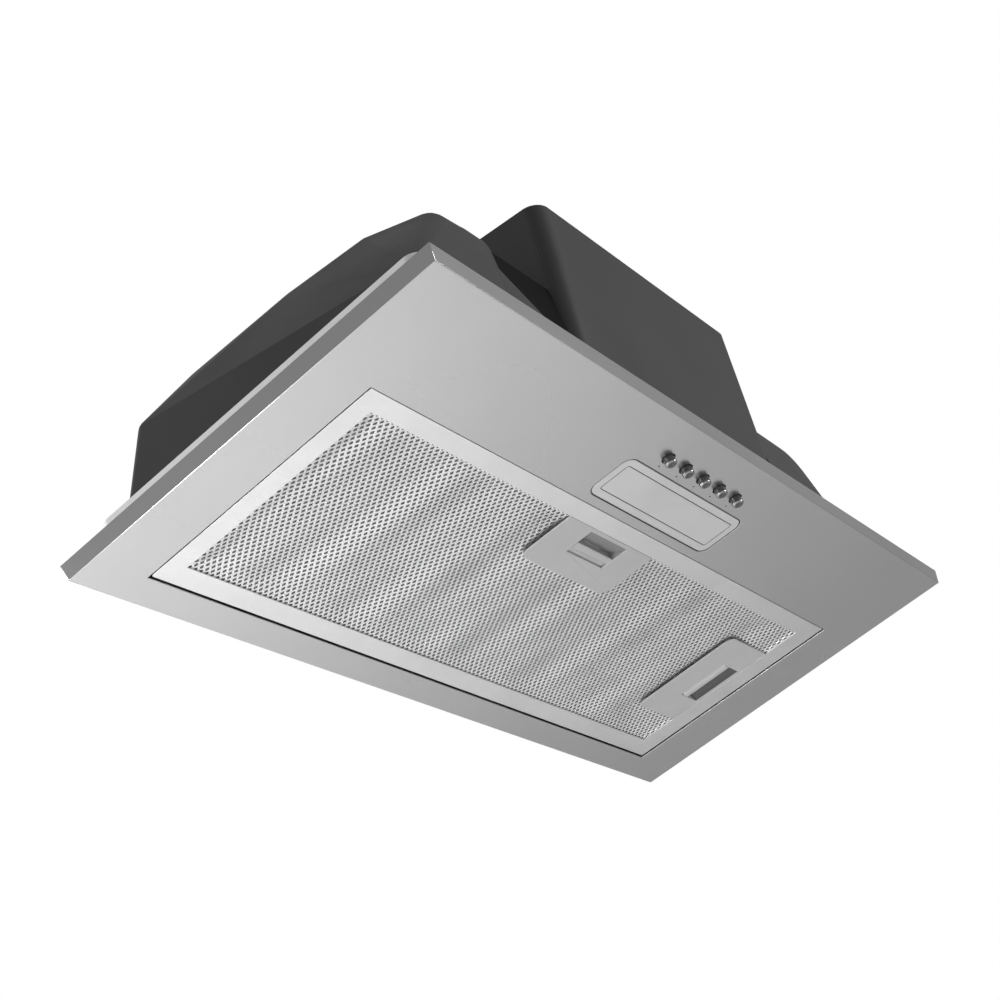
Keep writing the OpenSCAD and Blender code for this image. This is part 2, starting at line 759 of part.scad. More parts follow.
// Places a flap's piece on the rear or, turned, on the front half
module rear_half() seated() translate([duct_x, duct_y, 0]) children();

module front_half() rear_half() rotate(180) children();

module wiring_outline(inset) translate([wiring_x, wiring_y])
    rounded_centre(wiring_l - 2 * inset, wiring_d - 2 * inset, 4 - inset);

module wiring_screw_places() for (s = [-1, 1])
    translate([wiring_x + s * (wiring_l / 2 - 8), wiring_y - wiring_d / 2 + 9, 0]) children();

module wiring_box() color(moulding) seated() difference() {
    translate([0, 0, deck_h]) linear_extrude(wiring_h - wiring_t) wiring_outline(0);
    translate([0, 0, deck_h + wiring_t]) linear_extrude(wiring_h) wiring_outline(wiring_t);
    wiring_screw_places() translate([0, 0, deck_h - 1]) cylinder(r = screw_r, h = wiring_t + 2);
    gland_place() translate([0, 0, -wiring_t - 1]) cylinder(r = 8, h = wiring_t + 2);
}

module gland_place() translate([wiring_x, wiring_y + wiring_d / 2, deck_h + wiring_h / 2])
    rotate([-90, 0, 0]) children();

module wiring_lid() color(moulding) seated() {
    translate([0, 0, deck_h + wiring_h - wiring_t]) linear_extrude(wiring_t) wiring_outline(0);
    translate([0, 0, deck_h + wiring_h - wiring_t - 2]) linear_extrude(2 + eps) difference() {
        wiring_outline(wiring_t + 0.3);
        wiring_outline(wiring_t + 1.8);
    }
}

module capacitor() color(frame_grey) seated()
    translate([wiring_x, wiring_y + 4, deck_h + wiring_t]) linear_extrude(wiring_h - 10)
        rounded_centre(40, 16, 3);

module cable_gland() color(dark) seated() gland_place() difference() {
    union() {
        translate([0, 0, -wiring_t - 3]) cylinder(r = 7.9, h = wiring_t + 4);
        cylinder(r = 12, h = 4, $fn = 6);
        translate([0, 0, 4]) cylinder(r = 10, h = 8);
        translate([0, 0, 12]) cylinder(r1 = 10, r2 = 7, h = 5);
    }
    translate([0, 0, -wiring_t - 4]) cylinder(r = gland_bore_r, h = 30);
}

module lamp_place() seated() translate([lamp_x, lamp_y, 0]) children();

module lamp_housing() color(chassis_grey) lamp_place() translate([0, 0, sheet_t]) difference() {
    union() {
        linear_extrude(lamp_h) rounded_centre(cover_l + 6, cover_w + 6, 5);
        linear_extrude(1.2) rounded_centre(cover_l + 30, 16, 5);
    }
    translate([0, 0, -1]) linear_extrude(lamp_h - lamp_wall + 1)
        rounded_centre(cover_l + 6 - 2 * lamp_wall, cover_w + 6 - 2 * lamp_wall, 4);
    both_x(cover_l / 2 + 9) translate([0, 0, -1]) cylinder(r = 1.6, h = 4);
}

module lamp_board() color("#f1f1ec") lamp_place()
    translate([0, 0, sheet_t + lamp_h - lamp_wall - 1.6]) {
        linear_extrude(1.6) rounded_centre(cover_l - 12, cover_w - 9, 2);
        for (i = [-3:3]) translate([i * 16 - 1.75, -1.75, -0.8]) cube([3.5, 3.5, 0.8 + eps]);
    }

// Cover that lies in the panel's opening on a lip behind the sheet
module lamp_cover() color("#d9dadb") lamp_place() difference() {
    union() {
        translate([0, 0, cover_inset]) linear_extrude(sheet_t + cover_lip_t - cover_inset)
            rounded_centre(cover_l - 2 * cover_gap, cover_w - 2 * cover_gap, cover_r - cover_gap);
        translate([0, 0, sheet_t]) linear_extrude(cover_lip_t)
            rounded_centre(cover_l + 2 * cover_lip, cover_w + 2 * cover_lip, cover_r);
    }
    translate([0, 0, cover_inset + 1.2]) linear_extrude(10)
        rounded_centre(cover_l - 6, cover_w - 6, cover_r - 3);
    // Groove round the lens
    translate([0, 0, cover_inset - 1]) linear_extrude(1.4) difference() {
        rounded_centre(lens_l, lens_w, 2);
        rounded_centre(lens_l - 1, lens_w - 1, 1.5);
    }
}

module switch_bank() color(dark) seated() difference() {
    translate([0, button_y, sheet_t]) linear_extrude(bank_h) rounded_centre(bank_l, bank_w, 2);
    each_button() {
        translate([0, 0, 0]) cylinder(r = button_r + fit, h = shoulder_z);
        translate([0, 0, shoulder_z - 1]) cylinder(r = stem_r + fit, h = shoulder_t + 2);
        translate([0, 0, shoulder_z + shoulder_t]) cylinder(r = stem_head_r + 0.6,
            h = bank_top - shoulder_z - shoulder_t - 1.5);
    }
}

// Push button with its stem and the head that holds it in the bank
module button(i) color("#e8e8e8") seated()
    translate([(i - (button_count + 1) / 2) * button_pitch, button_y, 0]) rotate_extrude() {
        translate([0, -button_out + cap_crown]) square([button_r, cap_up + button_out - cap_crown]);
        translate([0, -button_out]) square([button_r - cap_crown, cap_crown + eps]);
        translate([button_r - cap_crown, -button_out + cap_crown]) intersection() {
            circle(r = cap_crown);
            translate([0, -cap_crown]) square([cap_crown, cap_crown + eps]);
        }
        square([stem_r, shoulder_z + shoulder_t + 1]);
        translate([0, shoulder_z + shoulder_t + 0.2]) square([stem_head_r, stem_head_h]);
    }

// Spring as a fluted sleeve round an inner radius
module spring_sleeve(r_in, length, folds, depth) rotate_extrude() {
    pitch = length / folds;
    polygon(concat(
        [for (i = [0:2 * folds]) [r_in + (i % 2) * depth, i * pitch / 2]],
        [for (i = [2 * folds:-1:0]) [r_in + 0.6 + (i % 2) * depth, i * pitch / 2]]));
}

module button_spring(i) color(steel) seated()
    translate([(i - (button_count + 1) / 2) * button_pitch, button_y, cap_up + 0.1])
        spring_sleeve(stem_r + 0.5, shoulder_z - cap_up - 0.2, 4, 1.1);

module pivot_pins() color(steel) seated()
    for (s = [-1, 1]) translate([filter_x + s * open_l / 2, pivot_y, pivot_z])
        rotate([0, s * 90, 0]) {
            translate([0, 0, -filter_gap - pivot_in])
                cylinder(r = pivot_r, h = filter_gap + pivot_in + sheet_t);
            translate([0, 0, sheet_t]) cylinder(r = 3, h = 1.2);
        }

module frame_window() translate([mesh_x, mesh_y]) square([mesh_l, mesh_w], center = true);

module frame_channel() translate([mesh_x, mesh_y])
    square([mesh_l + 2 * mesh_grip + 0.2, mesh_w + 2 * mesh_grip + 0.2], center = true);

module filter_frame() color(frame_grey) seated() difference() {
    translate([filter_x, filter_y, filter_inset]) linear_extrude(filter_t)
        rounded_centre(filter_l, filter_w, 1.5);
    translate([0, 0, -1]) linear_extrude(filter_t + 4) frame_window();
    translate([0, 0, mesh_z]) linear_extrude(filter_t - 2 * frame_t) frame_channel();
    for (s = [-1, 1]) translate([filter_x + s * filter_l / 2, pivot_y, pivot_z])
        rotate([0, 90, 0]) cylinder(r = pivot_r + fit, h = 2 * pivot_in + 1, center = true);
    front_latch() bolt_slot();
    side_latch() bolt_slot();
    latch_recess_cuts();
}

// Frame of the front latch, with the bolt towards the panel's front
module front_latch() translate([latch_front_x, mesh_y0, 0]) children();

// Frame of the side latch, with the bolt towards the panel's right end
module side_latch() translate([mesh_x1, filter_y + latch_side_y, 0]) rotate(90) children();

module bolt_slot() translate([-bolt_w / 2 - slide_play, -40, bolt_z - slide_play])
    cube([bolt_w + 2 * slide_play, 40 + mesh_grip, bolt_t + 2 * slide_play]);

module cup_2d(grow) translate([-recess_l / 2 - cup_side - grow, recess_v - cup_side - grow])
    square([recess_l + 2 * cup_side + 2 * grow, cup_w + 2 * grow]);

// Room for both latch cups in the mesh pack and the frame
module latch_recess_cuts() for (k = [0, 1]) translate([0, 0, filter_inset - 1])
    linear_extrude(filter_t + 2) if (k == 0) front_latch() cup_2d(0.2); else side_latch() cup_2d(0.2);

module mesh_sheet(z, t) difference() {
    translate([mesh_x, mesh_y, z]) linear_extrude(t)
        square([mesh_l + 2 * mesh_grip, mesh_w + 2 * mesh_grip], center = true);
    front_latch() translate([0, 0, z - 1]) linear_extrude(t + 2) cup_2d(0.2);
    side_latch() translate([0, 0, z - 1]) linear_extrude(t + 2) cup_2d(0.2);
    front_latch() bolt_path(z, t);
    side_latch() bolt_path(z, t);
}

// The bolt's way through the part of the pack that the frame holds
module bolt_path(z, t) if (z + t > bolt_z - slide_play)
    translate([-bolt_w / 2 - slide_play, -mesh_grip - 1, z - 1])
        cube([bolt_w + 2 * slide_play, mesh_grip + recess_v, t + 2]);

module mesh_lower() color("#d2d3d3") seated() mesh_sheet(mesh_z, mesh_t);

// Profile of a sheet folded to and fro over the height of the pack
module folds_2d(n) polygon(concat(
    [for (i = [-n:n]) [i * fold_pitch / 2, i % 2 == 0 ? 0 : core_t - fold_t]],
    [for (i = [n:-1:-n]) [i * fold_pitch / 2, i % 2 == 0 ? fold_t : core_t]]));

// Folded sheet between the two outer sheets
module mesh_core() color("#b9babb") seated() intersection() {
    mesh_sheet(mesh_z + mesh_t, core_t);
    translate([mesh_x, mesh_y - mesh_w, mesh_z + mesh_t]) rotate([90, 0, 0])
        translate([0, 0, -2 * mesh_w]) linear_extrude(2 * mesh_w) folds_2d(20);
}

module mesh_upper() color("#d2d3d3") seated() mesh_sheet(mesh_z + mesh_t + core_t, mesh_t);

// Plate over the mesh with its finger cup
module latch_cup(l, d) difference() {
    union() {
        translate([-l / 2, 0.2, filter_inset]) linear_extrude(frame_t) {
            square([l, d - 8]);
            translate([0, d - 16]) rounded(0, 0, l, 16, 7);
        }
        translate([0, 0, filter_inset]) linear_extrude(filter_t) cup_2d(0);
    }
    // Finger opening
    translate([-recess_l / 2, recess_v, filter_inset - 1]) cube([recess_l, recess_w, 4]);
    // Inside of the cup
    translate([-recess_l / 2, recess_v, filter_inset + frame_t])
        cube([recess_l, cup_w - 2 * cup_side, filter_t - frame_t - cup_t]);
    // Way out for the bolt
    translate([-bolt_w / 2 - slide_play, -5, bolt_z - slide_play])
        cube([bolt_w + 2 * slide_play, 20, bolt_t + 2 * slide_play]);
}

// Slider with its finger grip; reach is the bolt's length beyond the mesh's edge
module latch_slider(reach) {
    z0 = filter_inset + frame_t + slide_play;
    difference() {
        block([-recess_l / 2 + slide_play, grip_v, z0],
            [recess_l / 2 - slide_play, grip_v + grip_l, bolt_z + bolt_t]);
        // Scooped face for the finger tip
        translate([-recess_l / 2 - 1, grip_v - 7.2, z0 + 1.5]) rotate([0, 90, 0])
            cylinder(r = 8, h = recess_l + 2);
    }
    block([-bolt_w / 2, -reach, bolt_z], [bolt_w / 2, grip_v + grip_l, bolt_z + bolt_t]);
}

front_reach = band_front + filter_gap - rest_gap;
side_reach = band_right + filter_gap - rest_gap;

module latch_cup_front() color(latch_grey) seated() front_latch() latch_cup(latch_front_l, latch_front_d);

module latch_cup_side() color(latch_grey) seated() side_latch() latch_cup(latch_side_l, latch_side_d);

module latch_front() color(latch_grey) seated() front_latch() latch_slider(front_reach);

module latch_side() color(latch_grey) seated() side_latch() latch_slider(side_reach);

// Spring between the grip and the back of the cup
module latch_spring() {
    v0 = grip_v + grip_l + 0.1;
    v1 = recess_v + cup_w - 2 * cup_side - 0.1;
    translate([0, v0, z_mid()]) rotate([-90, 0, 0]) spring_sleeve(0.8, v1 - v0, 4, 0.9);
}

function z_mid() = (filter_inset + frame_t + cup_top - cup_t) / 2;

module latch_spring_front() color(steel) seated() front_latch() latch_spring();

module latch_spring_side() color(steel) seated() side_latch() latch_spring();

face_panel();
chassis_frame();
lower_housing();
blower_housing();
volute();
inlet_guard();
motor_bracket();
motor_can();
wheel();
wheel_shaft();
wheel_nut();
duct_collar();
flap_rod();
color(steel) front_half() flap();  // flap_front
color(steel) front_half() flap_knuckles();  // knuckles_front
color(steel) rear_half() flap();  // flap_rear
color(steel) rear_half() flap_knuckles();  // knuckles_rear
wiring_box();
wiring_lid();
capacitor();
cable_gland();
lamp_housing();
lamp_board();
lamp_cover();
switch_bank();
button(1);  // button_1
button(2);  // button_2
button(3);  // button_3
button(4);  // button_4
button(5);  // button_5
button_spring(1);  // spring_1
button_spring(2);  // spring_2
button_spring(3);  // spring_3
button_spring(4);  // spring_4
button_spring(5);  // spring_5
pivot_pins();
filter_frame();
mesh_lower();
mesh_core();
mesh_upper();
latch_cup_front();
latch_cup_side();
latch_front();
latch_side();
latch_spring_front();
latch_spring_side();
chassis_screws();
box_screws();
bracket_screws();
collar_screws();
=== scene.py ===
"""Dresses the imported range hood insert: finer edges, diamond mesh, coil springs, studio materials."""
import json
import math

import bmesh
import bpy
from mathutils import Matrix, Vector


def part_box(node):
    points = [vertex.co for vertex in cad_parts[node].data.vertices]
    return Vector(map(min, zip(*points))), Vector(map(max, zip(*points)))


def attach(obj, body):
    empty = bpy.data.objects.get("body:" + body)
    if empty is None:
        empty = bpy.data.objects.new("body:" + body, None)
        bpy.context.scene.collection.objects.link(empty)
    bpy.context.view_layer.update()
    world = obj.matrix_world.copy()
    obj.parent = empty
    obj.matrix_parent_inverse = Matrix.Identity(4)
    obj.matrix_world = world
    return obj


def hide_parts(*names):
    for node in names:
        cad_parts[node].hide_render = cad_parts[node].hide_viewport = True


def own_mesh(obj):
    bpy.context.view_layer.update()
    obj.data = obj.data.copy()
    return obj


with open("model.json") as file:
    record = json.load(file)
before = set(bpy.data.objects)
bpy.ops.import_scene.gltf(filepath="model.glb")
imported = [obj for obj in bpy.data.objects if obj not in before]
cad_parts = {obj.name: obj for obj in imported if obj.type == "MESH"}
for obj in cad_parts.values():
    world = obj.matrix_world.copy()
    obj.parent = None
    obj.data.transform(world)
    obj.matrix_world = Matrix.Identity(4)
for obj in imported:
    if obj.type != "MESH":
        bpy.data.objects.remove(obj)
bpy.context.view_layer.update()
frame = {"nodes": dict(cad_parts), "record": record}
record = frame["record"]
body_of = {node: body for body, members in record["behaviour"]["bodies"].items() for node in members}
slot_of = {part["node"]: part["material_slot"] for part in record["subparts"]}
MM = 0.001
SMOOTH_UNDER = math.radians(35)
FLAT_UNDER = math.radians(0.4)
WELD = 0.002 * MM
BEVEL_STEPS = 2


# Camera, fitted to the panel's corners and rim

EYE = Vector((-0.91556, -0.41174, -0.62377))
RIGHT = Vector((0.59661, -0.73262, -0.32763))
UP = Vector((-0.30096, -0.58269, 0.75492))
FORWARD = Vector((0.74397, 0.35178, 0.56812))
LENS = 65.55


def add(thing):
    bpy.context.scene.collection.objects.link(thing)
    return thing


def make_camera():
    data = bpy.data.cameras.new("camera")
    data.lens = LENS
    data.sensor_width = 36
    data.clip_start = 0.01
    data.clip_end = 50
    data.dof.use_dof = False
    camera = add(bpy.data.objects.new("camera", data))
    turn = Matrix((RIGHT, UP, -FORWARD)).transposed().to_4x4()
    camera.matrix_world = Matrix.Translation(EYE) @ turn
    bpy.context.scene.camera = camera


make_camera()


# Studio

FLOOR_Z = -1.6
FLOOR_HALF = 5.0


def area_light(name, place, aim, size, watts):
    light = bpy.data.lights.new(name, "AREA")
    light.shape = "RECTANGLE"
    light.size, light.size_y = size
    light.energy = watts
    lamp = add(bpy.data.objects.new(name, light))
    lamp.location = place
    lamp.rotation_euler = (Vector(aim) - Vector(place)).to_track_quat("-Z", "Y").to_euler()


def make_world(seen_strength, soft_strength):
    """White where the camera sees it, and a softer even light on the object."""
    world = bpy.data.worlds.new("studio")
    bpy.context.scene.world = world
    world.use_nodes = True
    tree = world.node_tree
    tree.nodes.clear()
    seen = tree.nodes.new("ShaderNodeBackground")
    seen.inputs["Color"].default_value = (1, 1, 1, 1)
    seen.inputs["Strength"].default_value = seen_strength
    soft = tree.nodes.new("ShaderNodeBackground")
    soft.inputs["Color"].default_value = (1, 1, 1, 1)
    soft.inputs["Strength"].default_value = soft_strength
    path = tree.nodes.new("ShaderNodeLightPath")
    mix = tree.nodes.new("ShaderNodeMixShader")
    out = tree.nodes.new("ShaderNodeOutputWorld")
    tree.links.new(path.outputs["Is Camera Ray"], mix.inputs[0])
    tree.links.new(soft.outputs[0], mix.inputs[1])
    tree.links.new(seen.outputs[0], mix.inputs[2])
    tree.links.new(mix.outputs[0], out.inputs[0])
    bpy.context.scene.view_settings.view_transform = "Standard"


make_world(1.0, 0.3)
area_light("rear_left", (-1.0, 2.0, 0.3), (-0.1, 0, 0.06), (1.2, 1.2), 43)
area_light("front", (0.8, -2.5, 0.1), (0.1, 0, 0.8), (1.2, 1.0), 45)
area_light("floor_wash", (0.7, 1.75, -0.6), (0.7, 1.75, -1.6), (2.2, 2.2), 26)
area_light("sparkle", (-0.7, 0.3, -0.35), (0.05, -0.12, -0.01), (0.08, 0.08), 1.2)


# Materials

class Finish:
    """A node material built up from noise in the object's own space."""

    def __init__(self, name, rough, metal=0.0):
        self.material = bpy.data.materials.new(name)
        self.material.use_nodes = True
        self.tree = self.material.node_tree
        self.shader = self.tree.nodes["Principled BSDF"]
        self.shader.inputs["Metallic"].default_value = metal
        self.shader.inputs["Roughness"].default_value = rough
        self.place = self.tree.nodes.new("ShaderNodeTexCoord").outputs["Object"]

    def link(self, start, end):
        self.tree.links.new(start, end)

    def noise(self, scale, detail, stretch=(1, 1, 1)):
        """Noise value with that many features per metre, longer along an axis whose stretch is small."""
        mapping = self.tree.nodes.new("ShaderNodeMapping")
        mapping.inputs["Scale"].default_value = stretch
        self.link(self.place, mapping.inputs["Vector"])
        noise = self.tree.nodes.new("ShaderNodeTexNoise")
        noise.inputs["Scale"].default_value = scale
        noise.inputs["Detail"].default_value = detail
        self.link(mapping.outputs[0], noise.inputs["Vector"])
        return noise.outputs["Fac"]

    def colour(self, value, dark, light):
        """Base colour that wanders between dark and light."""
        ramp = self.tree.nodes.new("ShaderNodeValToRGB")
        ramp.color_ramp.elements[0].position = 0.3
        ramp.color_ramp.elements[0].color = (*dark, 1)
        ramp.color_ramp.elements[1].position = 0.7
        ramp.color_ramp.elements[1].color = (*light, 1)
        self.link(value, ramp.inputs[0])
        self.link(ramp.outputs[0], self.shader.inputs["Base Color"])
        return self

    def roughness(self, value, low, high):
        """Roughness that wanders between low and high."""
        spread = self.tree.nodes.new("ShaderNodeMapRange")
        spread.inputs["From Min"].default_value = 0.3
        spread.inputs["From Max"].default_value = 0.7
        spread.inputs["To Min"].default_value = low
        spread.inputs["To Max"].default_value = high
        self.link(value, spread.inputs["Value"])
        self.link(spread.outputs[0], self.shader.inputs["Roughness"])
        return self

    def bump(self, value, depth, strength):
        """Relief of that depth in metres."""
        bump = self.tree.nodes.new("ShaderNodeBump")
        bump.inputs["Distance"].default_value = depth
        bump.inputs["Strength"].default_value = strength
        self.link(value, bump.inputs["Height"])
        self.link(bump.outputs[0], self.shader.inputs["Normal"])
        return self


def grey(level, warm=0.0):
    """Neutral colour, a little warmer or cooler."""
    return (level * (1 + warm), level, level * (1 - warm))


def satin_steel(name, level, rough):
    """Bead-blasted sheet with a faint drawn grain along the panel."""
    made = Finish(name, rough, metal=1.0)
    made.colour(made.noise(9, 2), grey(level * 0.975), grey(level * 1.02))
    made.roughness(made.noise(12, 1, (0.3, 1, 1)), rough - 0.015, rough + 0.015)
    made.bump(made.noise(900, 1), 0.0000008, 0.4)
    return made


def bright_sheet(name, level, rough):
    """Bare aluminium with fine rolling lines and small scuffs."""
    made = Finish(name, rough, metal=1.0)
    made.colour(made.noise(30, 2), grey(level * 0.97), grey(level * 1.02))
    made.roughness(made.noise(60, 2, (0.15, 1, 1)), rough - 0.03, rough + 0.04)
    made.bump(made.noise(500, 1, (0.1, 1, 1)), 0.000001, 0.4)
    return made


def enamel(name, level, rough, metal=0.0):
    """Sprayed paint with a soft orange peel."""
    made = Finish(name, rough, metal=metal)
    made.colour(made.noise(25, 3), grey(level * 0.96), grey(level * 1.04))
    made.roughness(made.noise(180, 3), rough - 0.04, rough + 0.05)
    made.bump(made.noise(1500, 3), 0.00002, 0.4)
    return made


def moulding(name, level, rough, gloss=0.5):
    """Moulded plastic with a fine grain and slow flow marks."""
    made = Finish(name, rough)
    made.shader.inputs["Specular IOR Level"].default_value = gloss
    made.colour(made.noise(7, 3), grey(level * 0.9, -0.02), grey(level * 1.12, 0.01))
    made.roughness(made.noise(14, 4), rough - 0.06, rough + 0.06)
    made.bump(made.noise(1800, 4), 0.00003, 0.35)
    return made


def polished(name, level, rough):
    """Chrome with the faintest haze and ripple."""
    made = Finish(name, rough, metal=1.0)
    made.colour(made.noise(200, 2), grey(level * 0.97), grey(level))
    made.roughness(made.noise(500, 3), rough * 0.6, rough * 1.6)
    made.bump(made.noise(700, 2), 0.000008, 0.3)
    return made


def zinc(name, level, rough):
    """Zinc plating with spangle and slight yellowing."""
    made = Finish(name, rough, metal=1.0)
    made.colour(made.noise(350, 4), grey(level * 0.88, 0.03), grey(level * 1.08))
    made.roughness(made.noise(600, 3), rough - 0.08, rough + 0.1)
    made.bump(made.noise(2000, 3), 0.000015, 0.5)
    return made


FINISHES = {
    "panel_steel": satin_steel("panel_steel", 0.6, 0.27),
    "grey_sheet": enamel("grey_sheet", 0.82, 0.42, metal=0.35),
    "black_moulding": moulding("black_moulding", 0.028, 0.4),
    "motor_paint": enamel("motor_paint", 0.05, 0.35),
    "dark_plastic": moulding("dark_plastic", 0.02, 0.5),
    "fan_plastic": moulding("fan_plastic", 0.5, 0.45),
    "flap_aluminium": bright_sheet("flap_aluminium", 0.72, 0.35),
    "white_plastic": moulding("white_plastic", 0.75, 0.35),
    "board": enamel("board", 0.72, 0.3),
    "cover_paint": enamel("cover_paint", 0.73, 0.34, metal=0.55),
    "chromed": polished("chromed", 0.4, 0.12),
    # Darkened copy of the chrome for the buttons' faces and collars: painted dark reflection
    "chrome_painted_dark_reflection": polished("chrome_painted_dark_reflection", 0.16, 0.4),
    "spring_wire": polished("spring_wire", 0.55, 0.25),
    "filter_band": bright_sheet("filter_band", 0.86, 0.3),
    "mesh_aluminium": bright_sheet("mesh_aluminium", 0.93, 0.42),
    # Darker copy of the mesh aluminium for the plies behind the seen sheet: painted shade of the inner
    # layers
    "mesh_inner_painted_shade": bright_sheet("mesh_inner_painted_shade", 0.55, 0.5),
    # Darker copies of the latch paint for the finger ramps: painted shade of the recesses
    "ramp_painted_shade": enamel("ramp_painted_shade", 0.26, 0.45),
    "ramp_painted_deep_shade": enamel("ramp_painted_deep_shade", 0.09, 0.5),
    # Near-black, hardly glossy copy of the moulding for the niche wall: painted shade
    "painted_shade_black": moulding("painted_shade_black", 0.006, 0.7, gloss=0.08),
    "latch_grey": enamel("latch_grey", 0.56, 0.4, metal=0.3),
    "zinc_steel": zinc("zinc_steel", 0.55, 0.35),
}


# Helpers that turn forms into pieces

def box_mm(node):
    """Lowest and highest corner of the CAD node, in millimetres."""
    return [Vector(corner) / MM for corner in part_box(node)]


def piece_from(form, name):
    """Object from a bmesh, smooth except along its sharp edges."""
    bmesh.ops.recalc_face_normals(form, faces=form.faces)
    for edge in form.edges:
        if len(edge.link_faces) != 2 or edge.calc_face_angle() > SMOOTH_UNDER:
            edge.smooth = False
    for face in form.faces:
        face.smooth = True
    mesh = bpy.data.meshes.new(name)
    form.to_mesh(mesh)
    form.free()
    return add(bpy.data.objects.new(name, mesh))


def middle(node):
    """Middle of the CAD node's box, in metres."""
    low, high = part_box(node)
    return (Vector(low) + Vector(high)) / 2


def bar_between(*outlines):
    """Closed bmesh between two outlines with equally many points, in metres."""
    form = bmesh.new()
    near, far = [[form.verts.new(point) for point in outline] for outline in outlines]
    for i in range(len(near)):
        form.faces.new((near[i - 1], near[i], far[i], far[i - 1]))
    form.faces.new(near[::-1])
    form.faces.new(far)
    return form


def prism(outline, start, end):
    """Bar between two places along Y, from outline points (x, z), all in millimetres."""
    return bar_between(*([Vector((x, y, z)) * MM for x, z in outline] for y in (start, end)))


def fit_out(piece, *nodes, body=None, slot=None, finish=None):
    """Gives a piece its finish and body, and has it stand for its CAD nodes."""
    slot = slot or slot_of[nodes[0]]
    piece.data.materials.clear()
    piece.data.materials.append(FINISHES[finish or slot].material)
    if nodes:
        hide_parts(*nodes)
    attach(piece, body or body_of[nodes[0]])


def welded(node, rows=()):
    """The CAD node's form as one closed bmesh with whole flat faces, parted at rows along Y in metres."""
    form = bmesh.new()
    form.from_mesh(frame["nodes"][node].data)
    bmesh.ops.remove_doubles(form, verts=form.verts, dist=WELD)
    for row in rows:
        cut = bmesh.ops.bisect_plane(form, geom=form.verts[:] + form.edges[:] + form.faces[:],
                                     dist=WELD, plane_co=(0, row, 0), plane_no=(0, 1, 0))
        for item in cut["geom_cut"]:
            if isinstance(item, bmesh.types.BMEdge):
                item.seam = True
    bmesh.ops.dissolve_limit(form, angle_limit=FLAT_UNDER, verts=form.verts, edges=form.edges,
                             delimit={"SEAM"})
    return form


# Distance of the seat screws' holes from the panel's front and rear edges
SEAT_ROW = 6.5


def rows_of_openings():
    """Rows through the panel's openings, so that none of its flat faces goes round an opening."""
    rows = [middle(node).y for node in ("filter_frame", "lamp_cover", "button_1", "pivot_pins")]
    low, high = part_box("face_panel")
    return rows + [low.y + SEAT_ROW * MM, high.y - SEAT_ROW * MM]


def eased(node, width, form):
    """The form that stands for the CAD node, with its sharp edges rounded over that width."""
    piece = piece_from(form, node + ".eased")
    bevel = piece.modifiers.new("edges", "BEVEL")
    bevel.width = width * MM
    bevel.segments = BEVEL_STEPS
    bevel.limit_method = "ANGLE"
    bevel.angle_limit = SMOOTH_UNDER
    bevel.miter_outer = "MITER_ARC"
    bevel.face_strength_mode = "FSTR_ALL"
    normals = piece.modifiers.new("normals", "WEIGHTED_NORMAL")
    normals.keep_sharp = True
    normals.use_face_influence = True
    fit_out(piece, node)


# Width that each CAD node's edges are rounded over, in millimetres
EDGES = {
    "face_panel": 0.35, "chassis_frame": 0.4,
    "duct_collar": 0.5, "wiring_box": 0.6, "wiring_lid": 0.7, "cable_gland": 0.4,
    "lamp_cover": 0.3, "lamp_housing": 0.4, "filter_frame": 0.35, "capacitor": 0.8,
    "latch_front": 0.4, "latch_side": 0.4, "motor_can": 0.8, "motor_bracket": 0.4,
    "wheel": 0.2, "volute": 0.4, "switch_bank": 0.5,
    "flap_front": 0.3, "flap_rear": 0.3, "flap_rod": 0.3, "knuckles_front": 0.3,
    "knuckles_rear": 0.3, "pivot_pins": 0.2, "wheel_shaft": 0.3, "wheel_nut": 0.4,
    "latch_cup_front": 0.35, "latch_cup_side": 0.35,
    "chassis_screws": 0.5, "box_screws": 0.5, "bracket_screws": 0.5, "collar_screws": 0.5,
}
for node, width in EDGES.items():
    rows = rows_of_openings() if node == "face_panel" else ()
    eased(node, width, welded(node, rows))


def lathe(name, profile, centre, steps=40):
    """Solid of revolution about Z, its profile given as (radius, height) in millimetres."""
    form = bmesh.new()
    angles = [2 * math.pi * i / steps for i in range(steps)]
    rings = []
    for radius, height in profile:
        around = angles if radius else angles[:1]
        rings.append([form.verts.new((radius * MM * math.cos(a), radius * MM * math.sin(a), height * MM))
                      for a in around])
    for lower, upper in zip(rings, rings[1:]):
        for i in range(steps):
            j = (i + 1) % steps
            corners = [lower[i % len(lower)], lower[j % len(lower)],
                       upper[j % len(upper)], upper[i % len(upper)]]
            form.faces.new(list(dict.fromkeys(corners)))
    bmesh.ops.translate(form, verts=form.verts, vec=Vector(centre))
    return piece_from(form, name)


# Open window in the housing's front wall, and the blower box that stands in it

HOUSING_LOW, HOUSING_HIGH = box_mm("lower_housing")
BOX_LOW, BOX_HIGH = box_mm("blower_housing")
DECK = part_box("wiring_box")[0][2] / MM
MOULD_WALL = 2.5
FOOT = HOUSING_LOW.z + MOULD_WALL
SHOULDER_FRONT = HOUSING_LOW.y
SHOULDER_PROUD = 7
FRONT_WALL = SHOULDER_FRONT + SHOULDER_PROUD
# Where the CAD's shoulder is cut off, from the housing's left end
SHOULDER_CUT = 92
# Middle of the shoulder's rounded end, where the niche starts, from the housing's left end
SHOULDER_END = 104
CORNER_R = 12
LEAN = math.radians(8)
# The leaning front of the box stands this far ahead of the front wall, at that height
BOX_AHEAD = 0.7
LEAN_FROM = DECK - 36


def split(form, place, normal):
    """Parts the faces that a plane cuts."""
    bmesh.ops.bisect_plane(form, geom=form.verts[:] + form.edges[:] + form.faces[:],
                           plane_co=place, plane_no=normal)


def drop_faces(form, unwanted):
    """Deletes each face whose middle, in millimetres, is unwanted."""
    gone = [face for face in form.faces if unwanted(face.calc_center_median() / MM)]
    bmesh.ops.delete(form, geom=gone, context="FACES")


